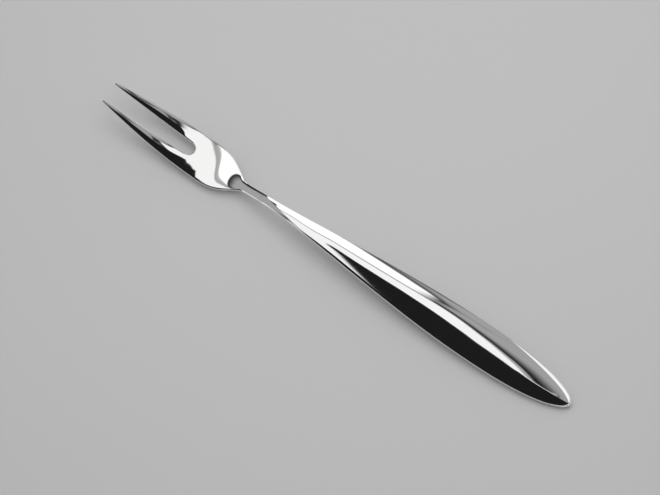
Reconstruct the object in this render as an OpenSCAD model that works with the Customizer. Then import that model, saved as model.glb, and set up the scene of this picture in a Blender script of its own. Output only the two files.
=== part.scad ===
// Meat fork: a forged two-tine head whose tang sits in a hollow, twisted leaf handle.
// X runs from the tine tips to the handle end, Y across, Z up. The fork lies on Z = 0.

/* [Lengths] */
// Tine tips to the bottom of the slot
tine_l = 37; // [30:1:45]
// Slot bottom to the start of the neck
bowl_l = 23; // [19:1:28]
// Straight length of the neck
neck_l = 12; // [8:1:18]
// Start of the handle leaf to its pointed end
handle_l = 128; // [112:1:150]
// Start of the handle leaf to its widest place
widest_l = 86; // [78:1:92]

/* [Head] */
// Greatest width over the bowl
head_w = 15.7; // [14:0.1:18]
// Slot bottom to the widest place of the bowl
head_widest_l = 2.5; // [1:0.5:4]
// Width over the outer edges of the tine tips
tip_spread = 8.3; // [7.8:0.1:9]
// Width of the slot between the tine tips
slot_tip_w = 7; // [6.6:0.1:7.2]
// Width of the slot at its round end
slot_root_w = 5; // [4.6:0.1:5.6]
// Edge thickness at the tine tips
tip_edge_t = 0.5; // [0.4:0.1:0.8]
// Edge thickness round the bowl
bowl_edge_t = 1; // [0.8:0.1:1.4]
// Rise of the rounded tine above its edges
tine_crown = 0.55; // [0.3:0.05:0.8]
// Rise of the bowl's top, gently rounded across, above its edges
bowl_crown = 0.6; // [0.3:0.05:0.8]
// Depth of the bowl's belly under its edge
belly_depth = 1.7; // [1.3:0.1:2.2]
// Lean of the bowl towards the far side
bowl_lean = 0.3; // [0:0.05:0.5]

/* [Neck] */
// Width of the neck
neck_w = 3.3; // [2.8:0.1:4.2]
// Rise of the neck's nearly flat top above its edges
neck_top = 0.35; // [0.2:0.05:0.6]
// Depth of the neck's rounded back below its edges
neck_belly = 0.95; // [0.7:0.05:1.3]
// Lean of the neck towards the near side
neck_lean = 0.4; // [0:0.05:0.6]

/* [Handle] */
// Greatest width of the leaf
handle_w = 15.6; // [14:0.1:18]
// Thickness of the rim all round the leaf
rim_t = 1.2; // [1:0.1:1.6]
// Rise of the leaf's top above the rim where the leaf starts
start_crown = 0.6; // [0.4:0.05:0.9]
// Rise of the leaf's rounded top above the rim
handle_crown = 2.15; // [1.8:0.05:2.5]
// Depth of the leaf's rounded back below the rim
handle_belly = 1.8; // [1.5:0.1:2.1]
// Rise and depth that are left at the pointed end
end_crown = 0.5; // [0.3:0.05:0.7]
// Swing of the ridge from the middle to the far side, as a share of the leaf's width
ridge_far = 0.1; // [0:0.01:0.14]
// Swing of the ridge to the near side towards the pointed end
ridge_near = 0.11; // [0:0.01:0.13]
// Crispness of the ridge at the pointed end: 0 is a smooth roll, 1 a fold between two flats
ridge_crisp = 0.5; // [0:0.05:0.8]
// Start of the leaf to the place where the neck's crease meets the near edge
crease_end_l = 18; // [14:1:22]
// Hollow of the neck facet beside the crease
crease_hollow = 0.35; // [0.1:0.05:0.6]
// Width of the small flat at the pointed end
end_flat_w = 1.4; // [1:0.1:2]
// Lean of the pointed end towards the far side
end_lean = 0.25; // [0:0.05:0.4]

/* [Side profile] */
// Height of the tine tips over the table, at mid edge
tip_rise = 9; // [7.5:0.1:10]
// Height of the shoulder, where the handle is highest
shoulder_rise = 7.05; // [6:0.05:7.8]
// Start of the leaf to the shoulder
shoulder_l = 24; // [22:1:28]
// Gap under the back of the leaf at its widest place
heel_lift = 0.45; // [0:0.05:0.8]

/* [Tang and shells] */
// Start of the leaf to the mouth, where the handle shells meet the head
mouth_l = 24; // [22:1:28]
// Length of the tang inside the handle
tang_l = 48; // [36:1:60]
// Width of the tang at the mouth
tang_w = 3.2; // [2.6:0.1:3.6]
// Width of the tang at its end
tang_end_w = 2.4; // [1.8:0.1:2.6]
// Thickness of the tang
tang_t = 1.1; // [0.8:0.1:1.2]
// Wall of the handle shells
shell_wall = 0.8; // [0.6:0.1:0.9]
// Width of the flat land where the two shells meet
rim_land = 1; // [0.8:0.1:1.4]
// Solid metal that is left at the pointed end of the shells
end_solid_l = 20; // [16:1:28]
// Gap between the filler and what it fills
fit_gap = 0.08; // [0.05:0.01:0.1]

/* [Hidden] */
polished_steel = "silver";
filler_grey = "dimgray";

// Places along the fork, measured from the tine tips
x_slot = tine_l;
x_broad = x_slot + head_widest_l;
x_neck = x_slot + bowl_l;
x_leaf = x_neck + neck_l;
x_shoulder = x_leaf + shoulder_l;
x_mouth = x_leaf + mouth_l;
x_tang = x_mouth + tang_l;
x_wide = x_leaf + widest_l;
x_end = x_leaf + handle_l;
x_crease = x_leaf + crease_end_l;
x_cavity = x_end - end_solid_l;
slot_r = slot_root_w / 2;

// Fullness of the outlines: how late the bowl draws in, and how blunt the leaf's end is
bowl_fullness = 1.95;
leaf_fullness = 2.6;
leaf_point = 1.8;
// Run over which the leaf's edge turns away from the neck, as a share of the widening stretch
leaf_turn = 0.06;
// Share of the width kept for the edge strips beside the crease
edge_strip = 0.05;
// Run over which the cavity of the shells closes
cavity_run = 8;
// Share of the cavity's width over which its sides slope
cavity_slope = 0.22;
// Largest share of the half width that the land takes towards the pointed end
land_limit = 0.4;
// Share of the cavity's width that the filler takes, and of the closing run that it leaves free
core_fill = 0.78;
core_stop = 0.6;
// Length of the shortest run of the crease ahead of the leaf
crease_lead = 5;
// Stretch ahead of the slot bottom over which the tine crowns run out
crown_run = 14;
// Depth under the edge that the tines keep
tine_belly = 0.35;
// Share of the tines over which they grow round, and the one at which the bowl's crown starts
tine_swell = 0.5;
crown_start = 0.35;
// Share of the tines at which the belly starts
belly_start = 0.6;
// Lowest place of the belly, as a share of the bowl's length
belly_share = 0.457;
// Stretch of the full bowl crown: from a share of the tines to a share of the bowl's length
crown_from = 0.9;
crown_to = 0.565;
// Where the neck's flat top starts in the bowl's length, and where the leaf's crown starts past the neck
flat_from = 0.85;
leaf_from = 0.2;
// Side profile of the tines: shares of the way from the tips to the belly, and of the fall
tine_profile = [[0.316, 0.441], [0.526, 0.713], [0.716, 0.86], [0.874, 0.963]];
// Side profile of the climb: shares of the way from the belly to the shoulder, and of the height
climb_profile = [
    [0.072, 0.056], [0.134, 0.175], [0.258, 0.43],
    [0.402, 0.742], [0.546, 0.918], [0.711, 0.979]
];
// Crown of the leaf: share that it has half way to the widest place, then shares of the end and of the crown
leaf_swell = 0.93;
end_profile = [[0.36, 0.97], [0.69, 0.86], [0.88, 0.62]];
// Middle of a stretch or of the width
middle = 0.5;
// Run of the ridge: shares of the leaf's length, and of the swing to the far and to the near side
far_swing = [[0.45, 0.7], [0.56, 1], [0.68, 0.5]];
near_swing = [[0.79, 0.28], [0.85, 0.9], [0.92, 1], [1, 0.9]];
// Growth of the ridge's crispness: shares of the leaf's length, and of the crispness
crisp_growth = [[0.61, 0], [0.735, 0.12], [0.79, 0.3], [0.844, 0.44], [0.9, 0.9], [1, 1]];

// Smooth step from 0 to 1 with level ends
function ease(v) = let (c = max(0, min(1, v))) c * c * (3 - 2 * c);
// Value between a and b
function mix(a, b, v) = a + (b - a) * v;
// Cubic from a to b that leaves a at the given slope and arrives level
function rise(v, a, b, slope) = a + (b - a) * (slope * (v - 2 * v * v + v * v * v) + ease(v));
// Ramp that turns smoothly from 0 into v
function soft_ramp(v, turn) = (v + sqrt(v * v + turn * turn)) / 2;
// Arch over 0..1 that is 1 in the middle
function arch(u) = 4 * u * (1 - u);
// Slope of the smooth curve through the points p at point i
function slope_at(p, i) =
    let (a = p[max(0, i - 1)], b = p[min(len(p) - 1, i + 1)]) (b[1] - a[1]) / (b[0] - a[0]);
// Piece of the curve through p that holds x
function piece_of(p, x, i = 0) = (i >= len(p) - 2 || x < p[i + 1][0]) ? i : piece_of(p, x, i + 1);
// Smooth curve through the points p, each a place and a value
function curve(p, x) =
    let (
        i = piece_of(p, x),
        run = p[i + 1][0] - p[i][0],
        v = max(0, min(1, (x - p[i][0]) / run)),
        lead = v * (1 - v) * (1 - v) * run * slope_at(p, i),
        tail = v * v * (v - 1) * run * slope_at(p, i + 1)
    )
    mix(p[i][1], p[i + 1][1], ease(v)) + lead + tail;

// Half width of the outline
leaf_slope = 1;
tine_slope = 1.7;
function half_w(x) =
    x < x_broad ? rise(x / x_broad, tip_spread / 2, head_w / 2, tine_slope)
    : x < x_neck ? mix(head_w / 2, neck_w / 2, ease(pow((x - x_broad) / (x_neck - x_broad), bowl_fullness)))
    : x < x_wide
        ? let (v = min(1, soft_ramp((x - x_leaf) / widest_l, leaf_turn)))
          rise(v, neck_w / 2, handle_w / 2, leaf_slope)
    : let (u = min(1, (x - x_wide) / (x_end - x_wide)))
      max(end_flat_w / 2, handle_w / 2 * pow(1 - pow(u, leaf_fullness), 1 / leaf_point));
// Half width of the slot, round at its end
function half_slot(x) =
    x < x_slot - slot_r
        ? mix(slot_tip_w / 2, slot_r, x / (x_slot - slot_r))
        : sqrt(max(0, slot_r * slot_r - pow(x - x_slot + slot_r, 2)));
// Sideways place of the middle of the outline
lean_line = [
    [0, 0],
    [x_broad, bowl_lean],
    [x_neck, -neck_lean],
    [x_shoulder, -neck_lean],
    [x_wide, 0],
    [x_end, end_lean]
];
function mid_y(x) = curve(lean_line, x);
// Height of the middle of the edge
x_belly = mix(x_slot, x_neck, belly_share);
belly_z = belly_depth + bowl_edge_t / 2;
side_line = concat(
    [[0, tip_rise]],
    [for (p = tine_profile) [x_belly * p[0], mix(tip_rise, belly_z, p[1])]],
    [[x_belly, belly_z]],
    [for (p = climb_profile) [mix(x_belly, x_shoulder, p[0]), mix(belly_z, shoulder_rise, p[1])]],
    [
        [x_shoulder, shoulder_rise],
        [x_wide, rim_t / 2 + handle_belly + heel_lift],
        [x_end, rim_t / 2 + end_crown]
    ]
);
function mid_z(x) = curve(side_line, x);
// Half of the edge thickness
edge_line = [[0, tip_edge_t / 2], [x_slot, bowl_edge_t / 2], [x_neck, rim_t / 2], [x_end, rim_t / 2]];
function half_edge(x) = curve(edge_line, x);
// Rise of the rounded top over its edge
crown_line = concat(
    [
        [0, 0],
        [x_slot * crown_start, 0],
        [x_slot * crown_from, bowl_crown],
        [mix(x_slot, x_neck, crown_to), bowl_crown],
        [mix(x_slot, x_neck, flat_from), neck_top],
        [mix(x_neck, x_leaf, middle), neck_top],
        [mix(x_leaf, x_shoulder, leaf_from), start_crown],
        [mix(x_shoulder, x_wide, middle), handle_crown * leaf_swell],
        [x_wide, handle_crown]
    ],
    [for (p = end_profile) [mix(x_wide, x_end, p[0]), handle_crown * p[1]]],
    [[x_end, end_crown]]
);
function crown(x) = curve(crown_line, x);
// Depth of the rounded back under its edge
back_line = [
    [0, 0],
    [x_slot * belly_start, tine_belly],
    [x_broad, belly_depth],
    [mix(x_broad, x_neck, middle), belly_depth],
    [x_neck, neck_belly],
    [x_leaf, neck_belly],
    [mix(x_shoulder, x_wide, middle), handle_belly],
    [x_wide, handle_belly],
    [x_end, end_crown]
];
function back(x) = curve(back_line, x);
// Share of the width, from the near edge, at which the neck's crease and the leaf's ridge lie
crease_bow = 0.65;
function crease_u(x) =
    let (v = max(0, min(1, (x - x_leaf + crease_lead) / (crease_end_l + crease_lead))))
    mix(1 - 2 * edge_strip, edge_strip, ease(pow(v, crease_bow)));
ridge_line = concat(
    [[x_shoulder, middle]],
    [for (p = far_swing) [mix(x_leaf, x_end, p[0]), middle + p[1] * ridge_far]],
    [for (p = near_swing) [mix(x_leaf, x_end, p[0]), middle - p[1] * ridge_near]]
);
function ridge_u(x) = x < x_shoulder ? middle : curve(ridge_line, x);
crisp_line = [for (p = crisp_growth) [mix(x_leaf, x_end, p[0]), p[1] * ridge_crisp]];
function crisp(x) = curve(crisp_line, x);
// Rise of the top at share u of the width: up to the ridge from both edges, rounded where it is not crisp
function roll(x, u) =
    let (
        r = ridge_u(x),
        v = u < r ? u / r : (1 - u) / (1 - r)
    )
    crown(x) * (v + (1 - crisp(x)) * v * (1 - v));
// Height of the top over the middle of the edge, at share u of the width from the near edge
function top_h(x, u) =
    let (
        c = crease_u(x),
        hollow = crease_hollow * ease((x - x_neck) / neck_l) * ease((x_crease - x) / crease_end_l)
    )
    half_edge(x) + (
        x > x_neck && x < x_crease && u < c
            ? let (v = u / c) roll(x, c) * v + (crown(x) * c * c - hollow) * arch(v)
            : roll(x, u)
    );
// Depth of the back under the middle of the edge
function back_h(x, u) = half_edge(x) + back(x) * arch(u);

// Points across one half of the head, above and again underneath
head_cols = 8;
half_cols = 2 * head_cols + 2;
// Triangles between two rows of as many points
function strip(a, b, outward) = [
    for (k = [0 : len(a) - 2], t = [0, 1])
        let (f = t == 0 ? [a[k], a[k + 1], b[k + 1]] : [a[k], b[k + 1], b[k]])
        outward ? f : [f[2], f[1], f[0]]
];

// Crown of a single tine, which runs out into the bowl
function tine_rise(x) =
    tine_crown * ease(x / (tine_l * tine_swell)) * (1 - ease((x - x_slot + crown_run) / crown_run));
// Point k of one half section of the head: over the top from the inside to the edge, then back underneath
function head_point(x, side, k) =
    let (
        on_top = k <= head_cols,
        q = on_top ? k / head_cols : (half_cols - 1 - k) / head_cols,
        w = half_w(x),
        inner = x < x_slot ? half_slot(x) : 0,
        y = side * mix(inner, w, q),
        u = (y / w + 1) / 2,
        bump = x < x_slot ? tine_rise(x) * arch(q) : 0,
        z = on_top ? mid_z(x) + top_h(x, u) + bump : max(0, mid_z(x) - back_h(x, u) - bump / 2)
    )
    [x, mid_y(x) + y, z];
function tang_half_w(x) = mix(tang_w, tang_end_w, (x - x_mouth) / tang_l) / 2;
// Point k of one half section of the tang, on a rectangle
function tang_point(x, side, k) =
    let (
        on_top = k <= head_cols,
        q = on_top ? k / head_cols : (half_cols - 1 - k) / head_cols,
        z = mid_z(x) + (on_top ? 1 : -1) * tang_t / 2
    )
    [x, mid_y(x) + side * q * tang_half_w(x), z];

// Stations along the head: tines, round slot end, bowl, neck and shoulder
tine_steps = 12;
round_steps = 6;
bowl_steps = 14;
neck_steps = 18;
tang_steps = 6;
x_round = x_slot - slot_r;
head_x = concat(
    [for (i = [0 : tine_steps]) x_round * i / tine_steps],
    [for (i = [1 : round_steps]) x_round + slot_r * sin(90 * i / round_steps)],
    [for (i = [1 : bowl_steps]) mix(x_slot, x_neck, i / bowl_steps)],
    [for (i = [1 : neck_steps]) mix(x_neck, x_mouth, i / neck_steps)]
);
tang_x = [for (i = [0 : tang_steps]) mix(x_mouth, x_tang, i / tang_steps)];
slot_i = tine_steps + round_steps;
head_n = len(head_x) + len(tang_x);

// Index of point k at station i in one half; past the slot both halves share the middle points
function head_id(i, h, k) =
    let (shared = h == 1 && i >= slot_i && (k == 0 || k == half_cols - 1))
    (i * 2 + (shared ? 0 : h)) * half_cols + k;

module fork_head() {
    points = [
        for (i = [0 : head_n - 1], h = [0, 1], k = [0 : half_cols - 1])
            let (side = h == 0 ? -1 : 1)
            i < len(head_x) ? head_point(head_x[i], side, k) : tang_point(tang_x[i - len(head_x)], side, k)
    ];
    skins = [
        for (i = [0 : head_n - 2], h = [0, 1], k = [0 : half_cols - 2], t = [0, 1])
            let (
                a = head_id(i, h, k),
                b = head_id(i, h, k + 1),
                c = head_id(i + 1, h, k + 1),
                d = head_id(i + 1, h, k),
                f = t == 0 ? [a, b, c] : [a, c, d]
            )
            h == 1 ? f : [f[2], f[1], f[0]]
    ];
    slot_walls = [
        for (i = [0 : slot_i - 1], h = [0, 1], t = [0, 1])
            let (
                a = head_id(i, h, half_cols - 1),
                b = head_id(i, h, 0),
                c = head_id(i + 1, h, 0),
                d = head_id(i + 1, h, half_cols - 1),
                f = t == 0 ? [a, b, c] : [a, c, d]
            )
            h == 1 ? f : [f[2], f[1], f[0]]
    ];
    caps = [
        for (h = [0, 1], i = [0, head_n - 1])
            each strip(
                [for (k = [0 : head_cols]) head_id(i, h, k)],
                [for (k = [0 : head_cols]) head_id(i, h, half_cols - 1 - k)],
                (h == 0) == (i == 0)
            )
    ];
    color(polished_steel)
        translate([-x_end / 2, 0, 0])
            polyhedron(points, concat(skins, slot_walls, caps));
}

// Places across the leaf: the near side up to the ridge, and the far side beyond it
face_cols = 10;
facet_cols = 8;
function leaf_shares(x) =
    let (r = ridge_u(x))
    concat(
        [for (j = [0 : face_cols - 1]) r * j / face_cols],
        [for (j = [0 : facet_cols]) mix(r, 1, j / facet_cols)]
    );
// Stations along the shells, closer together towards the pointed end
shell_steps = 36;
shell_crowding = 1.4;
shell_x = [for (i = [0 : shell_steps]) mix(x_end, x_mouth, pow(1 - i / shell_steps, shell_crowding))];
shell_cols = face_cols + facet_cols;
// Half width of the cavity, and its height over or under the parting face at place y across
function cavity_w(x) = half_w(x) - min(rim_land, half_w(x) * land_limit);
function cavity_h(x, y, up) =
    let (
        v = (y / cavity_w(x) + 1) / 2,
        u = (y / half_w(x) + 1) / 2,
        full = max(0, (up ? top_h(x, u) : back_h(x, u)) - shell_wall)
    )
    full * min(1, v / cavity_slope, (1 - v) / cavity_slope) * ease((x_cavity - x) / cavity_run);

// Closed section of one shell: over the outside from near to far, and back along the inside
function shell_section(x, up) =
    let (
        w = half_w(x),
        ym = mid_y(x),
        zm = mid_z(x),
        shares = leaf_shares(x),
        outside = [for (u = shares)
            [x, ym + w * (2 * u - 1), up ? zm + top_h(x, u) : max(0, zm - back_h(x, u))]],
        inside = [for (j = [0 : shell_cols])
            let (y = mix(1, -1, j / shell_cols) * cavity_w(x))
            [x, ym + y, zm + (up ? 1 : -1) * cavity_h(x, y, up)]]
    )
    concat([[x, ym - w, zm]], outside, [[x, ym + w, zm]], inside);

// Faces over closed sections of n points each, that start at point first
function skin(first, last, n, outward) = [
    for (i = [0 : last - 1], k = [0 : n - 1], t = [0, 1])
        let (
            a = first + i * n + k,
            b = first + i * n + (k + 1) % n,
            f = t == 0 ? [a, b, b + n] : [a, b + n, a + n]
        )
        outward ? f : [f[2], f[1], f[0]]
];
// Faces that close the end of a shell, whose section starts at point first
function shell_cap(first, outward) =
    let (
        outer = [for (j = [0 : shell_cols]) first + 1 + j],
        inner = [for (j = [0 : shell_cols]) first + 3 + 2 * shell_cols - j],
        near_land = [first, outer[0], inner[0]],
        far_land = [outer[shell_cols], first + 2 + shell_cols, inner[shell_cols]]
    )
    concat(
        strip(outer, inner, outward),
        [for (f = [near_land, far_land]) outward ? f : [f[2], f[1], f[0]]]
    );
// One half of the hollow handle
module handle_shell(up) {
    n = 2 * shell_cols + 4;
    last = len(shell_x) - 1;
    points = [for (x = shell_x) each shell_section(x, up)];
    color(polished_steel)
        translate([-x_end / 2, 0, 0])
            polyhedron(points, concat(
                skin(0, last, n, up),
                shell_cap(0, !up),
                shell_cap(last * n, up)
            ));
}

module handle_upper_shell() {
    handle_shell(true);
}

module handle_lower_shell() {
    handle_shell(false);
}

// Filler: fills the cavity, with a blind pocket for the tang at its front
core_steps = 24;
core_cols = 12;
pocket_steps = 8;
core_start = x_mouth + fit_gap;
core_end = x_cavity - cavity_run * core_stop;
core_x = [for (i = [0 : core_steps]) mix(core_start, core_end, i / core_steps)];
pocket_x = [for (i = [0 : pocket_steps]) mix(core_start, x_tang + fit_gap, i / pocket_steps)];
// Places across a section, over the top and back underneath, from -1 to 1
core_across = concat(
    [for (j = [0 : core_cols]) [mix(-1, 1, j / core_cols), true]],
    [for (j = [0 : core_cols]) [mix(1, -1, j / core_cols), false]]
);
function core_section(x) = [for (c = core_across)
    let (y = c[0] * cavity_w(x) * core_fill, h = cavity_h(x, y, c[1]) - fit_gap)
    [x, mid_y(x) + y, mid_z(x) + (c[1] ? h : -h)]];
function pocket_section(x) = [for (c = core_across)
    let (h = tang_t / 2 + fit_gap)
    [x, mid_y(x) + c[0] * (tang_half_w(x) + fit_gap), mid_z(x) + (c[1] ? h : -h)]];

module handle_core() {
    n = len(core_across);
    pocket_0 = len(core_x) * n;
    outer_last = len(core_x) - 1;
    pocket_last = len(pocket_x) - 1;
    points = concat([for (x = core_x) each core_section(x)], [for (x = pocket_x) each pocket_section(x)]);
    front = [
        for (k = [0 : n - 1], t = [0, 1])
            let (m = (k + 1) % n)
            t == 0 ? [m, k, pocket_0 + k] : [m, pocket_0 + k, pocket_0 + m]
    ];
    caps = [
        for (first = [outer_last * n, pocket_0 + pocket_last * n])
            each strip(
                [for (k = [0 : core_cols]) first + k],
                [for (k = [0 : core_cols]) first + n - 1 - k],
                first < pocket_0
            )
    ];
    color(filler_grey)
        translate([-x_end / 2, 0, 0])
            polyhedron(points, concat(
                skin(0, outer_last, n, true),
                skin(pocket_0, pocket_last, n, false),
                front,
                caps
            ));
}

fork_head();
handle_upper_shell();
handle_lower_shell();
handle_core();
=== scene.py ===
import math
import bpy
import numpy as np
from mathutils import Matrix, Vector


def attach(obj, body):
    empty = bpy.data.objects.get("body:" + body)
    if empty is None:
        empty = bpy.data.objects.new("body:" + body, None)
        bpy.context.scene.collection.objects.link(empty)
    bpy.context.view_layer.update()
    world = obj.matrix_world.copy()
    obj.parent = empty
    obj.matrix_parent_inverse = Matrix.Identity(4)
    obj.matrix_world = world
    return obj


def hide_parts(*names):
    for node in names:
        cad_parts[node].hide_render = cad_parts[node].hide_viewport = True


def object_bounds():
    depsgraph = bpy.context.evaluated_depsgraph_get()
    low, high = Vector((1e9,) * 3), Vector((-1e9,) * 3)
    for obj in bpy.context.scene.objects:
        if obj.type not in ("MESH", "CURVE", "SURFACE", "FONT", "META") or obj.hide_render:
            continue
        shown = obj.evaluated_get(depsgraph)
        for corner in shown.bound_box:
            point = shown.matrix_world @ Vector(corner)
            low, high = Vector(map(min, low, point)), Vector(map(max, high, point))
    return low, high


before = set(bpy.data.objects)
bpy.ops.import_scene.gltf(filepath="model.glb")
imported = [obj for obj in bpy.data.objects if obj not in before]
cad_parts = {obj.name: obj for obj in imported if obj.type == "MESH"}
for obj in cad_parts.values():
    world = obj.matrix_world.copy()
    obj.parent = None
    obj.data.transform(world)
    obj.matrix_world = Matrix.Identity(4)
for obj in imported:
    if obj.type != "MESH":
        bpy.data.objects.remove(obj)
cad_low, cad_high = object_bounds()

# Sizes of the fork, in millimetres from the tine tips
MM = 0.001
X_SLOT, X_BROAD, X_NECK, X_LEAF = 37.0, 39.5, 60.0, 72.0
X_SHOULDER, X_MOUTH, X_TANG, X_WIDE, X_END = 96.0, 96.0, 144.0, 158.0, 200.0
X_CREASE, X_CAVITY = 90.0, 180.0
HEAD_W, TIP_SPREAD, SLOT_TIP_W, SLOT_ROOT_W = 15.7, 8.3, 7.0, 5.0
TIP_EDGE_T, BOWL_EDGE_T, RIM_T = 0.5, 1.0, 1.2
TINE_CROWN, BOWL_CROWN, BELLY_DEPTH, TINE_BELLY = 0.55, 0.53, 1.7, 0.35
NECK_W, NECK_TOP, NECK_BELLY = 3.3, 0.35, 0.95
BOWL_LEAN, NECK_LEAN, END_LEAN = 0.3, 0.4, 0.25
HANDLE_W, START_CROWN, HANDLE_CROWN, HANDLE_BELLY, END_CROWN = 15.58, 0.6, 2.15, 1.8, 0.5
RIDGE_FAR, RIDGE_NEAR, RIDGE_CRISP, FACET_DROP = 0.1, 0.11, 0.5, 0.35
TIP_RISE, SHOULDER_RISE, HEEL_LIFT = 9.0, 7.05, 0.45
TANG_W, TANG_END_W, TANG_T = 3.2, 2.4, 1.1
SHELL_WALL, RIM_LAND, CAVITY_RUN = 0.8, 1.0, 8.0
EDGE_STRIP = 0.05
SLOT_R = SLOT_ROOT_W / 2
BOWL_FULLNESS = 1.95
X_ROUND = X_SLOT - SLOT_R


# Plain curves
def ease(v):
    c = np.clip(v, 0, 1)
    return c * c * (3 - 2 * c)


def mix(a, b, v):
    return a + (b - a) * v


def arch(u):
    return 4 * u * (1 - u)


def rise(v, a, b, slope):
    return a + (b - a) * (slope * (v - 2 * v * v + v ** 3) + ease(v))


def curve(points, x):
    px, py = np.array(points, float).T
    n = len(px)
    slope = np.array([
        (py[min(n - 1, i + 1)] - py[max(0, i - 1)]) / (px[min(n - 1, i + 1)] - px[max(0, i - 1)])
        for i in range(n)
    ])
    i = np.clip(np.searchsorted(px, x, side="right") - 1, 0, n - 2)
    run = px[i + 1] - px[i]
    v = np.clip((x - px[i]) / run, 0, 1)
    lead = v * (1 - v) ** 2 * run * slope[i]
    tail = v * v * (v - 1) * run * slope[i + 1]
    return mix(py[i], py[i + 1], ease(v)) + lead + tail


# A curve along the fork with its bends eased, so that reflections flow over it
ALONG = np.arange(-20, X_END + 20.05, 0.1)


def faired(values, spread, keep_from=X_END - 12, keep_run=8):
    reach = np.arange(-int(spread * 40), int(spread * 40) + 1) * 0.1
    weight = np.exp(-0.5 * (reach / spread) ** 2)
    weight /= weight.sum()
    pad = len(reach) // 2
    ends = np.concatenate([np.full(pad, values[0]), values, np.full(pad, values[-1])])
    smooth = np.convolve(ends, weight, mode="valid")
    keep = ease((ALONG - keep_from) / keep_run)
    table = mix(smooth, values, keep)
    return lambda x: np.interp(x, ALONG, table)


def outline(x):
    tine = rise(np.clip(x / X_BROAD, 0, 1), TIP_SPREAD / 2, HEAD_W / 2, 1.7)
    fall = np.clip((x - X_BROAD) / (X_NECK - X_BROAD), 0, 1) ** BOWL_FULLNESS
    bowl = mix(HEAD_W / 2, NECK_W / 2, ease(fall))
    v = (x - X_LEAF) / (X_WIDE - X_LEAF)
    leaf = rise(np.minimum(1, (v + np.sqrt(v * v + 0.06 ** 2)) / 2), NECK_W / 2, HANDLE_W / 2, 1)
    u = np.clip((x - X_WIDE) / (X_END - X_WIDE), 0, 1)
    end = HANDLE_W / 2 * (1 - u ** 2.6) ** (1 / 1.8)
    return np.where(x < X_BROAD, tine, np.where(x < X_NECK, bowl, np.where(x < X_WIDE, leaf, end)))


half_w = faired(outline(ALONG), 1.2)
mid_y = faired(curve([(0, 0), (X_BROAD, BOWL_LEAN), (X_NECK, -NECK_LEAN), (X_SHOULDER, -NECK_LEAN * 1.4),
                      (X_WIDE, 0), (X_END, END_LEAN)], ALONG), 2)
# Side profile: fall of the tines to the belly, climb of the neck to the shoulder, fall of the handle
X_BELLY, BELLY_Z = mix(X_SLOT, X_NECK, 0.457), BELLY_DEPTH + BOWL_EDGE_T / 2
TINE_PROFILE = [(-0.3, -0.42), (0, 0), (0.316, 0.441), (0.526, 0.713), (0.716, 0.86), (0.874, 0.97)]
CLIMB_PROFILE = [(0, 0), (0.045, 0.037), (0.09, 0.076), (0.138, 0.139), (0.197, 0.257), (0.28, 0.46),
                 (0.39, 0.732), (0.546, 0.918), (0.711, 0.979)]
side_line = curve([(X_BELLY * a, mix(TIP_RISE, BELLY_Z, b)) for a, b in TINE_PROFILE]
                  + [(mix(X_BELLY, X_SHOULDER, a), mix(BELLY_Z, SHOULDER_RISE, b)) for a, b in CLIMB_PROFILE]
                  + [(X_SHOULDER, SHOULDER_RISE), (X_WIDE, RIM_T / 2 + HANDLE_BELLY + HEEL_LIFT),
                     (X_END, RIM_T / 2 + END_CROWN)], ALONG)
tine_z, neck_z = faired(side_line, 4), faired(side_line, 1.7)


def mid_z(x):
    return mix(tine_z(x), neck_z(x), ease((x - 30) / 12))


half_edge = faired(curve([(0, TIP_EDGE_T / 2), (X_SLOT, BOWL_EDGE_T / 2), (X_NECK, RIM_T / 2),
                          (X_END, RIM_T / 2)], ALONG), 2)
BOWL_MID = mix(X_BROAD, X_NECK, 0.5)
LEAF_MID = mix(X_SHOULDER, X_WIDE, 0.5)
END_PROFILE = [(0.36, 0.97), (0.69, 0.86), (0.88, 0.62)]
crown = faired(curve([(0, 0), (X_SLOT * 0.64, 0), (X_SLOT * 0.92, BOWL_CROWN),
                      (mix(X_SLOT, X_NECK, 0.565), BOWL_CROWN), (mix(X_SLOT, X_NECK, 0.85), NECK_TOP),
                      (mix(X_NECK, X_LEAF, 0.5), NECK_TOP), (mix(X_LEAF, X_SHOULDER, 0.2), START_CROWN),
                      (LEAF_MID, HANDLE_CROWN * 0.93), (X_WIDE, HANDLE_CROWN)]
                     + [(mix(X_WIDE, X_END, a), HANDLE_CROWN * b) for a, b in END_PROFILE]
                     + [(X_END, END_CROWN)], ALONG), 2)
back = faired(curve([(0, 0), (X_SLOT * 0.6, TINE_BELLY), (X_BROAD, BELLY_DEPTH), (BOWL_MID, BELLY_DEPTH),
                     (X_NECK, NECK_BELLY), (X_LEAF, NECK_BELLY), (LEAF_MID, HANDLE_BELLY),
                     (X_WIDE, HANDLE_BELLY), (X_END, END_CROWN)], ALONG), 2)
# Where the ridge runs across the leaf, as a share of the width from the near edge, and how crisp it is
FAR_SWING = [(0.1875, 0), (0.45, 0.7), (0.56, 1), (0.68, 0.5)]
NEAR_SWING = [(0.79, 0.28), (0.85, 0.9), (0.92, 1), (1, 0.9)]
CRISP_GROWTH = [(0.61, 0), (0.70, 0.15), (0.735, 0.3), (0.79, 0.55), (0.844, 0.8), (0.9, 1.2), (1, 1.5)]
ridge_u = faired(curve([(mix(X_LEAF, X_END, a), 0.5 + RIDGE_FAR * b) for a, b in FAR_SWING]
                       + [(mix(X_LEAF, X_END, a), 0.5 - RIDGE_NEAR * b) for a, b in NEAR_SWING], ALONG), 2)
crisp = faired(curve([(mix(X_LEAF, X_END, a), RIDGE_CRISP * b) for a, b in CRISP_GROWTH], ALONG), 1.5)


def crease_u(x):
    v = np.clip((x - X_LEAF + 5) / (X_CREASE - X_LEAF + 5), 0, 1)
    return mix(1 - 2 * EDGE_STRIP, EDGE_STRIP, ease(v ** 0.5))


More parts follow.
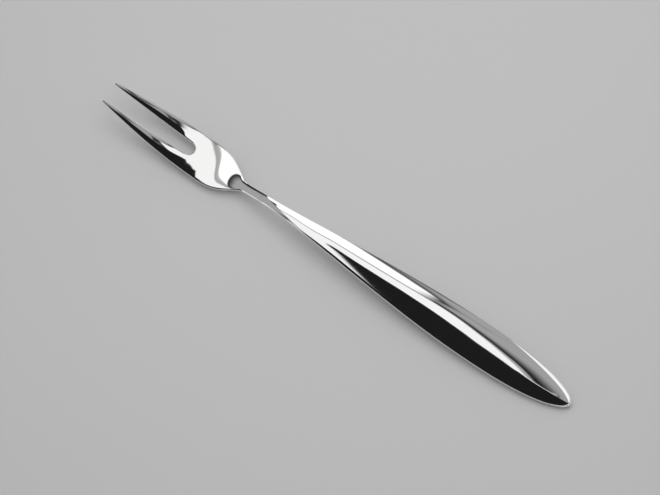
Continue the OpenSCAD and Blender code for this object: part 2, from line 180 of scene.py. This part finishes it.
# Height of the top over the middle of the edge, at share u of the width from the near edge
def top_h(x, u):
    k, c, r = crown(x), crease_u(x), ridge_u(x)
    v = np.where(u < r, u / r, (1 - u) / (1 - r))
    leaf = k * (v + (1 - crisp(x)) * v * (1 - v))
    v = c / r
    at_crease = k * np.where(c < r, v * (2 - v), arch(c))
    v = np.clip(u / c, 0, 1)
    drop = FACET_DROP * ease((x - X_NECK - 2) / 7) * ease((X_CREASE - x) / 12)
    near = at_crease * v + k * c * c * arch(v) - drop * (1 - v)
    return half_edge(x) + np.where((x > X_NECK) & (x < X_CREASE) & (u < c), near, leaf)


def back_h(x, u):
    return half_edge(x) + back(x) * arch(u)


# Fall of a rounded edge of radius r, at distance d from it
def edge_fall(d, r):
    inside = np.clip(r - d, 0, r)
    return r - np.sqrt(np.maximum(r * r - inside * inside, 0))


# Places from 0 to 1 that crowd within the share e of both ends
def crowded(e, count, edge_count):
    turn = 1 - np.cos(np.linspace(0, math.pi / 2, edge_count + 1))
    e = np.asarray(e, float)[:, None]
    low = e * turn[None, :-1]
    body = mix(e, 1 - e, np.linspace(0, 1, count)[None, :])
    return np.concatenate([low, body, 1 - low[:, ::-1]], axis=1)


# A mesh object from points in millimetres
def make_piece(name, points, faces, material, sharp=32):
    mesh = bpy.data.meshes.new(name)
    placed = (np.asarray(points, float) - [X_END / 2, 0, 0]) * MM
    mesh.from_pydata(placed.tolist(), [], [list(f) for f in faces])
    mesh.validate()
    mesh.polygons.foreach_set("use_smooth", [True] * len(mesh.polygons))
    mesh.set_sharp_from_angle(angle=math.radians(sharp))
    mesh.materials.append(material)
    piece = bpy.data.objects.new(name, mesh)
    bpy.context.scene.collection.objects.link(piece)
    return piece


# Triangles between two rows of point numbers of any length
def zip_rows(a, b, outward):
    faces, i, j = [], 0, 0
    while i < len(a) - 1 or j < len(b) - 1:
        if j == len(b) - 1 or (i < len(a) - 1 and (i + 1) / (len(a) - 1) <= (j + 1) / (len(b) - 1)):
            f = (a[i], a[i + 1], b[j])
            i += 1
        else:
            f = (a[i], b[j + 1], b[j])
            j += 1
        faces.append(f if outward else f[::-1])
    return faces


# Quads over closed rows of n points each
def loft(rows, n, outward):
    faces = []
    for i in range(rows - 1):
        for k in range(n):
            a, b = i * n + k, i * n + (k + 1) % n
            f = (a, b, b + n, a + n)
            faces.append(f if outward else f[::-1])
    return faces


# Node helpers
def plug(tree, value, socket):
    if isinstance(value, (int, float)):
        socket.default_value = value
    else:
        tree.links.new(value, socket)


def math_node(tree, kind, a, b=0.0, c=0.0, clamp=False):
    node = tree.nodes.new("ShaderNodeMath")
    node.operation = kind
    node.use_clamp = clamp
    for value, socket in zip((a, b, c), node.inputs):
        plug(tree, value, socket)
    return node.outputs[0]


def soft_step(tree, value, low, high):
    node = tree.nodes.new("ShaderNodeMapRange")
    node.interpolation_type = "SMOOTHSTEP"
    for given, name in ((value, "Value"), (low, "From Min"), (high, "From Max")):
        plug(tree, given, node.inputs[name])
    return node.outputs["Result"]


def blend_colour(tree, share, a, b):
    node = tree.nodes.new("ShaderNodeMix")
    node.data_type = "RGBA"
    plug(tree, share, node.inputs["Factor"])
    for given, name in ((a, "A"), (b, "B")):
        socket = [s for s in node.inputs if s.name == name and s.type == "RGBA"][0]
        if isinstance(given, tuple):
            socket.default_value = (*given, 1)
        else:
            tree.links.new(given, socket)
    return [s for s in node.outputs if s.type == "RGBA"][0]


def new_material(name):
    material = bpy.data.materials.new(name)
    material.use_nodes = True
    shader = [n for n in material.node_tree.nodes if n.type == "BSDF_PRINCIPLED"][0]
    return material, material.node_tree, shader


# Mirror-polished steel with faint polishing marks along the fork
def polished_steel():
    material, tree, shader = new_material("mirror_polish")
    place = tree.nodes.new("ShaderNodeTexCoord").outputs["Object"]
    stretch = tree.nodes.new("ShaderNodeMapping")
    stretch.inputs["Scale"].default_value = (120, 2600, 2600)
    tree.links.new(place, stretch.inputs["Vector"])
    marks = tree.nodes.new("ShaderNodeTexNoise")
    marks.inputs["Scale"].default_value = 1
    marks.inputs["Detail"].default_value = 3
    tree.links.new(stretch.outputs["Vector"], marks.inputs["Vector"])
    haze = tree.nodes.new("ShaderNodeTexNoise")
    haze.inputs["Scale"].default_value = 70
    tree.links.new(place, haze.inputs["Vector"])
    rough = math_node(tree, "MULTIPLY_ADD", marks.outputs["Fac"], 0.03, 0.012)
    rough = math_node(tree, "MULTIPLY_ADD", haze.outputs["Fac"], 0.02, rough)
    tree.links.new(rough, shader.inputs["Roughness"])
    tint = blend_colour(tree, haze.outputs["Fac"], (0.90, 0.895, 0.89), (0.94, 0.937, 0.933))
    tree.links.new(tint, shader.inputs["Base Color"])
    shader.inputs["Metallic"].default_value = 1
    return material


def cast_filler():
    material, tree, shader = new_material("cast_filler")
    place = tree.nodes.new("ShaderNodeTexCoord").outputs["Object"]
    grain = tree.nodes.new("ShaderNodeTexNoise")
    grain.inputs["Scale"].default_value = 900
    tree.links.new(place, grain.inputs["Vector"])
    tint = blend_colour(tree, grain.outputs["Fac"], (0.17, 0.165, 0.16), (0.27, 0.26, 0.25))
    tree.links.new(tint, shader.inputs["Base Color"])
    shader.inputs["Roughness"].default_value = 0.85
    return material


STEEL = polished_steel()

# Head: tines, bowl, neck and tang, as two halves that share the middle line behind the slot
TOP_EDGE_R, BACK_EDGE_R = 0.38, 0.22
TIP_ROUND_L = 0.4
BOWL_BEVEL_W, BOWL_BEVEL_R, NEAR_BEVEL_SLOPE, FAR_BEVEL_SLOPE = 0.45, 0.2, 0.7, 0.42


def half_slot(x):
    straight = mix(SLOT_TIP_W / 2, SLOT_R, x / X_ROUND)
    arc = np.sqrt(np.maximum(SLOT_R ** 2 - (x - X_ROUND) ** 2, 0))
    return np.where(x < X_ROUND, straight, arc)


def head_rows():
    tip = np.linspace(0, 1, 12) ** 2 * TIP_ROUND_L + 0.004
    tine = np.linspace(TIP_ROUND_L + 0.2, X_ROUND, 80)
    arc = X_ROUND + SLOT_R * np.sin(np.linspace(0, math.pi / 2, 25)[1:])
    behind = X_SLOT + np.array([0.02, 0.06, 0.12, 0.2, 0.3, 0.42, 0.6, 0.85])
    bowl = np.linspace(X_SLOT + 1.1, X_NECK, 64)
    neck = np.linspace(X_NECK, X_MOUTH - 0.3, 110)[1:]
    mouth = X_MOUTH - np.array([0.12, 0.03, 0])
    return np.concatenate([tip, tine, arc, behind, bowl, neck, mouth]), len(tip) + len(tine) + len(arc) - 1


def head_skin(x, side, q, on_top):
    w = half_w(x)
    inner = np.where(x < X_SLOT, half_slot(x), 0)
    close = np.sqrt(np.clip(1 - (1 - np.clip(x / TIP_ROUND_L, 0, 1)) ** 2, 0, 1))
    middle = (w + inner) / 2
    half = (w - inner) / 2
    y_plain = mix(inner, w, q)
    y = middle + (y_plain - middle) * close
    u = (side * y / w + 1) / 2
    run = 14
    bump = TINE_CROWN * ease(x / X_SLOT * 2) * (1 - ease((x - X_SLOT + run) / run)) * arch(q)
    bevelled = ease((x - X_SLOT + 6) / 8) * ease((X_NECK + 2 - x) / 6)
    radius = mix(TOP_EDGE_R, BOWL_BEVEL_R, bevelled) if on_top else BACK_EDGE_R
    radius = np.minimum(radius, np.minimum(0.4 * half, 0.7 * half_edge(x))) * close
    past = np.where(x < X_ROUND, y - half_slot(x), np.hypot(x - X_ROUND, y) - SLOT_R)
    past = np.where(x < X_ROUND, np.minimum(past, (y_plain - inner) * close), past)
    fall = edge_fall((w - y_plain) * close, radius) + edge_fall(np.maximum(past, 0), radius)
    if on_top:
        slope = NEAR_BEVEL_SLOPE if side < 0 else FAR_BEVEL_SLOPE
        fall = fall + np.maximum(0, BOWL_BEVEL_W - (w - y_plain)) * slope * bevelled
        rise_h = top_h(x, u) + bump - fall
    else:
        rise_h = -(back_h(x, u) + bump / 2 - fall)
    z = mid_z(x) + rise_h * mix(0.85, 1, close)
    return np.stack([x + 0 * y, mid_y(x) + side * y, np.maximum(z, 0)], axis=-1)


def fork_head():
    x, slot_i = head_rows()
    w = half_w(x)
    width = w - np.where(x < X_SLOT, half_slot(x), 0)
    share = np.minimum(0.25, TOP_EDGE_R / width)
    q_top = crowded(share, 42, 6)
    q_back = crowded(share, 16, 4)[:, ::-1]
    m = q_top.shape[1] + q_back.shape[1]
    X = x[:, None]
    halves = [np.concatenate([head_skin(X, s, q_top, True), head_skin(X, s, q_back, False)], axis=1) for s in (-1, 1)]
    grid = np.stack(halves, axis=1)
    tang_x = np.array([X_MOUTH, X_TANG])
    flat = np.concatenate([q_top[-1], q_back[-1]])
    up = np.concatenate([np.ones(q_top.shape[1]), -np.ones(q_back.shape[1])])
    tang = np.zeros((2, 2, m, 3))
    for i, tx in enumerate(tang_x):
        for h, s in enumerate((-1, 1)):
            tang[i, h, :, 0] = tx
            tang[i, h, :, 1] = mid_y(tx) + s * flat * mix(TANG_W, TANG_END_W, i) / 2
            tang[i, h, :, 2] = mid_z(tx) + up * TANG_T / 2
    grid = np.concatenate([grid, tang], axis=0)
    rows = len(grid)

    def number(i, h, k):
        shared = h == 1 and i >= slot_i and k in (0, m - 1)
        return (i * 2 + (0 if shared else h)) * m + k

    faces = []
    for i in range(rows - 1):
        for h in (0, 1):
            for k in range(m if i < slot_i else m - 1):
                n = (k + 1) % m
                f = (number(i, h, k), number(i, h, n), number(i + 1, h, n), number(i + 1, h, k))
                faces.append(f if h == 1 else f[::-1])
    top_n = q_top.shape[1]
    for i in (0, rows - 1):
        for h in (0, 1):
            above = [number(i, h, k) for k in range(top_n)]
            under = [number(i, h, m - 1 - k) for k in range(m - top_n)]
            faces += zip_rows(above, under, (h == 0) == (i == 0))
    return make_piece("fork_head_forging", grid.reshape(-1, 3), faces, STEEL)


# Handle shells: hollow halves that meet along the rim
LEAF_EDGE_R = 0.34


def shell_rows():
    mouth = X_MOUTH + np.array([0, 0.03, 0.12])
    t = np.linspace(0, 1, 230)
    leaf = X_END - 0.004 - (X_END - X_MOUTH - 0.3) * (1 - t) ** 1.35
    return np.concatenate([mouth, leaf])


def cavity_w(x):
    return half_w(x) - np.minimum(RIM_LAND, half_w(x) * 0.4)


def cavity_h(x, y, up):
    v = (y / cavity_w(x) + 1) / 2
    u = (y / half_w(x) + 1) / 2
    full = np.maximum(0, (top_h(x, u) if up else back_h(x, u)) - SHELL_WALL)
    sides = np.minimum(1, np.minimum(v, 1 - v) / 0.22)
    return full * sides * ease((X_CAVITY - x) / CAVITY_RUN)


bevel_w = faired(curve([(0, 0), (166, 0), (172, 0.5), (180, 1.1), (188, 1.5), (195, 1.6), (X_END, 1.6)], ALONG), 1)
bevel_slope = faired(curve([(0, 0.25), (167, 0.25), (180, 0.36), (195, 0.36), (X_END, 0.36)], ALONG), 1)


def handle_shell(name, up, cols):
    x = shell_rows()
    w = half_w(x)
    radius = np.minimum(LEAF_EDGE_R, 0.45 * w)
    u = crowded(radius / (2 * w), cols, 7)
    X, W = x[:, None], w[:, None]
    close = np.sqrt(np.clip(1 - np.clip((X - X_END + 0.7) / 0.7, 0, 1) ** 2, 0, 1))
    d = 2 * W * np.minimum(u, 1 - u)
    fall = edge_fall(d, radius[:, None])
    if up:
        far_d = 2 * W * (1 - u)
        fall = fall + np.maximum(0, bevel_w(X) - far_d) * bevel_slope(X)
    h = (top_h(X, u) if up else back_h(X, u)) - fall
    h = np.maximum(h * mix(0.35, 1, close), 0.02)
    sign = 1 if up else -1
    outside = np.stack([X + 0 * u, mid_y(X) + W * (2 * u - 1), np.maximum(mid_z(X) + sign * h, 0)], axis=-1)
    rim = [np.stack([X, mid_y(X) + s * W, mid_z(X)], axis=-1) for s in (-1, 1)]
    across = np.linspace(1, -1, 33)[None, :] * cavity_w(X)
    inside = np.stack([X + 0 * across, mid_y(X) + across, mid_z(X) + sign * cavity_h(X, across, up)], axis=-1)
    grid = np.concatenate([rim[0], outside, rim[1], inside], axis=1)
    rows, n = grid.shape[:2]
    outer_n = outside.shape[1] + 2
    faces = loft(rows, n, up)
    for i in (0, rows - 1):
        outer = [i * n + k for k in range(outer_n)]
        inner = [i * n + n - 1 - k for k in range(n - outer_n)]
        faces += zip_rows(outer, inner, (i > 0) == up)
    return make_piece(name, grid.reshape(-1, 3), faces, STEEL)


head = fork_head()
upper = handle_shell("upper_handle_stamping", True, 110)
lower = handle_shell("lower_handle_stamping", False, 48)
for piece, node in ((head, "fork_head"), (upper, "handle_upper_shell"), (lower, "handle_lower_shell")):
    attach(piece, "root")
    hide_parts(node)
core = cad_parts["handle_core"]
core.data.materials.clear()
core.data.materials.append(cast_filler())


# Pale table top
def table_top():
    material, tree, shader = new_material("table_paper")
    place = tree.nodes.new("ShaderNodeTexCoord").outputs["Object"]
    fibre = tree.nodes.new("ShaderNodeTexNoise")
    fibre.inputs["Scale"].default_value = 3
    tree.links.new(place, fibre.inputs["Vector"])
    tint = blend_colour(tree, fibre.outputs["Fac"], (0.60, 0.60, 0.605), (0.62, 0.62, 0.625))
    tree.links.new(tint, shader.inputs["Base Color"])
    shader.inputs["Roughness"].default_value = 0.9
    shader.inputs["Specular IOR Level"].default_value = 0.1
    mesh = bpy.data.meshes.new("table_top")
    s = 1.5
    mesh.from_pydata([(-s, -s, 0), (s, -s, 0), (s, s, 0), (-s, s, 0)], [], [(0, 1, 2, 3)])
    mesh.materials.append(material)
    floor = bpy.data.objects.new("table_top", mesh)
    bpy.context.scene.collection.objects.link(floor)
    floor.location.z = -0.0002
    return floor


table_top()


# Studio around the fork: white panels overhead and on the far side, and grey walls in a dim room
def studio():
    world = bpy.data.worlds.new("studio")
    bpy.context.scene.world = world
    world.use_nodes = True
    tree = world.node_tree
    tree.nodes.clear()
    split = tree.nodes.new("ShaderNodeSeparateXYZ")
    tree.links.new(tree.nodes.new("ShaderNodeTexCoord").outputs["Generated"], split.inputs[0])
    dx, dy, dz = split.outputs

    def chain(kind, first, others):
        for other in others:
            first = math_node(tree, kind, first, other)
        return first

    def times(first, *others):
        return chain("MULTIPLY", first, others)

    def plus(first, *others):
        return chain("ADD", first, others)

    def larger(first, *others):
        return chain("MAXIMUM", first, others)

    def smaller(first, *others):
        return chain("MINIMUM", first, others)

    def scaled(value, factor, shift):
        return math_node(tree, "MULTIPLY_ADD", value, factor, shift)

    def flip(value):
        return math_node(tree, "SUBTRACT", 1.0, value, clamp=True)

    def soft(value, low, high):
        return soft_step(tree, value, low, high)

    def edge(value, width=0.7):
        return soft(value, -width, width)

    # Angles from the zenith in degrees: ax to the right along the fork, ay to the far side
    angle = times(math_node(tree, "ARCCOSINE", dz), 180 / math.pi)
    flat = larger(math_node(tree, "SQRT", plus(times(dx, dx), times(dy, dy))), 1e-4)
    ax = math_node(tree, "DIVIDE", times(angle, dx), flat)
    ay = math_node(tree, "DIVIDE", times(angle, dy), flat)

    # How far a direction lies past a straight border, inside where positive
    def line(kx, ky, shift):
        return plus(scaled(ax, kx, times(ay, ky)), shift)

    # White panels, with a grey gap where they meet
    seam = line(1, -0.615, 22)
    gap = scaled(soft(math_node(tree, "ABSOLUTE", seam), 1.3, 2.9), 0.6, 0.4)
    left = larger(smaller(line(1, 0.06, 22.3), line(1, 0, 23)), smaller(line(1, 0, 28.5), line(0, 1, -33)))
    right = smaller(line(-1, 0, 3.8), line(-1, -0.12, 7))
    near = smaller(larger(line(0, 1, -3.2), line(-2.5, 1, -12)), line(-1.5, 1, -6))
    near = larger(near, line(-1, 0.19, -6.3), smaller(line(-1, 0, -7.5), line(0, -1, -17)))
    near = smaller(near, line(0, 1, 38))
    far = larger(line(0, -1, 36), smaller(line(0, -1, 46), line(2, 0, -1)))
    front_panel = times(edge(right), edge(seam), edge(near), edge(far, 1.0))
    back_panel = times(edge(line(-1, -0.1, -1.3)), flip(edge(seam)), edge(line(-0.94, -0.345, 12.7)))
    white = times(edge(left), scaled(front_panel, 0.98, times(back_panel, 1.15)), gap)
    covered = times(edge(left), larger(front_panel, back_panel))

    # Grey walls around the panels, and pale strips that show along the edges of the fork
    beyond = smaller(line(0, 0.3, -9.9), larger(line(0.94, 0.345, -12.7), line(2, 0, 12)))
    far_grey = times(soft(beyond, 0, 3.6), soft(ay, 84, 74), soft(ax, -22, -14), 0.36)
    far_strip = times(soft(ay, 66, 70), soft(ax, -8, -5))
    fade = scaled(soft(ay, 0, 10), -4.0, -5.5)
    left_grey = times(soft(left, 0, fade), soft(ay, 40, 26), soft(ay, -66, -44), 0.36)
    left_strip = times(soft(ax, -25, -28.5), soft(ay, -34, -44), soft(ay, -92, -74))
    near_grey = times(soft(ay, -105, -125), 0.30)
    right_grey = times(soft(ax, 4.8, 6.2), soft(ay, 5, 15), 0.33)
    walls = larger(far_grey, far_strip, left_grey, left_strip, near_grey, right_grey)

    # Banded side walls that only shiny surfaces show, and an even fill that only matte ones get
    bands = scaled(soft(math_node(tree, "SINE", times(ay, math.pi / 20)), -0.5, 0.3), 0.8, 0.15)
    sides = times(larger(soft(ax, 14, 34), soft(ax, -40, -60)), soft(angle, 44, 56))
    sides = times(sides, soft(ay, -85, -65), soft(ay, 65, 45), bands)
    light_path = tree.nodes.new("ShaderNodeLightPath")
    room = larger(walls, times(sides, light_path.outputs["Is Glossy Ray"]))
    room = plus(room, 0.012, times(light_path.outputs["Is Diffuse Ray"], 0.2))
    light = plus(white, times(flip(covered), room))
    background = tree.nodes.new("ShaderNodeBackground")
    tree.links.new(light, background.inputs["Color"])
    out = tree.nodes.new("ShaderNodeOutputWorld")
    tree.links.new(background.outputs[0], out.inputs["Surface"])


studio()


def soft_lamp(name, place, size, power):
    lamp = bpy.data.lights.new(name, "AREA")
    lamp.size = size
    lamp.energy = power
    holder = bpy.data.objects.new(name, lamp)
    bpy.context.scene.collection.objects.link(holder)
    holder.location = place
    holder.rotation_mode = "QUATERNION"
    holder.rotation_quaternion = (-Vector(place)).to_track_quat("-Z", "Y")
    holder.visible_glossy = False
    return holder


soft_lamp("overhead_soft_light", (-0.03, 0.10, 0.38), 0.45, 0.74)

# Camera at the photo's angle
AZIMUTH, ELEVATION, ROLL = math.radians(35.7), math.radians(72), math.radians(-0.72)
LENS, SENSOR, VIEW_W = 900, 36, 0.2341
level = math.cos(ELEVATION)
toward = Vector((math.sin(AZIMUTH) * level, -math.cos(AZIMUTH) * level, math.sin(ELEVATION)))
turned = (-toward).to_track_quat("-Z", "Y").to_matrix() @ Matrix.Rotation(ROLL, 3, "Z")
camera = bpy.data.cameras.new("camera")
camera.lens, camera.sensor_width = LENS, SENSOR
holder = bpy.data.objects.new("camera", camera)
bpy.context.scene.collection.objects.link(holder)
aim = (cad_low + cad_high) / 2 + turned @ Vector((-0.00326, 0.00022, 0))
holder.location = aim + toward * (VIEW_W * LENS / SENSOR)
holder.rotation_mode = "QUATERNION"
holder.rotation_quaternion = turned.to_quaternion()
bpy.context.scene.camera = holder
bpy.context.scene.view_settings.view_transform = "Standard"
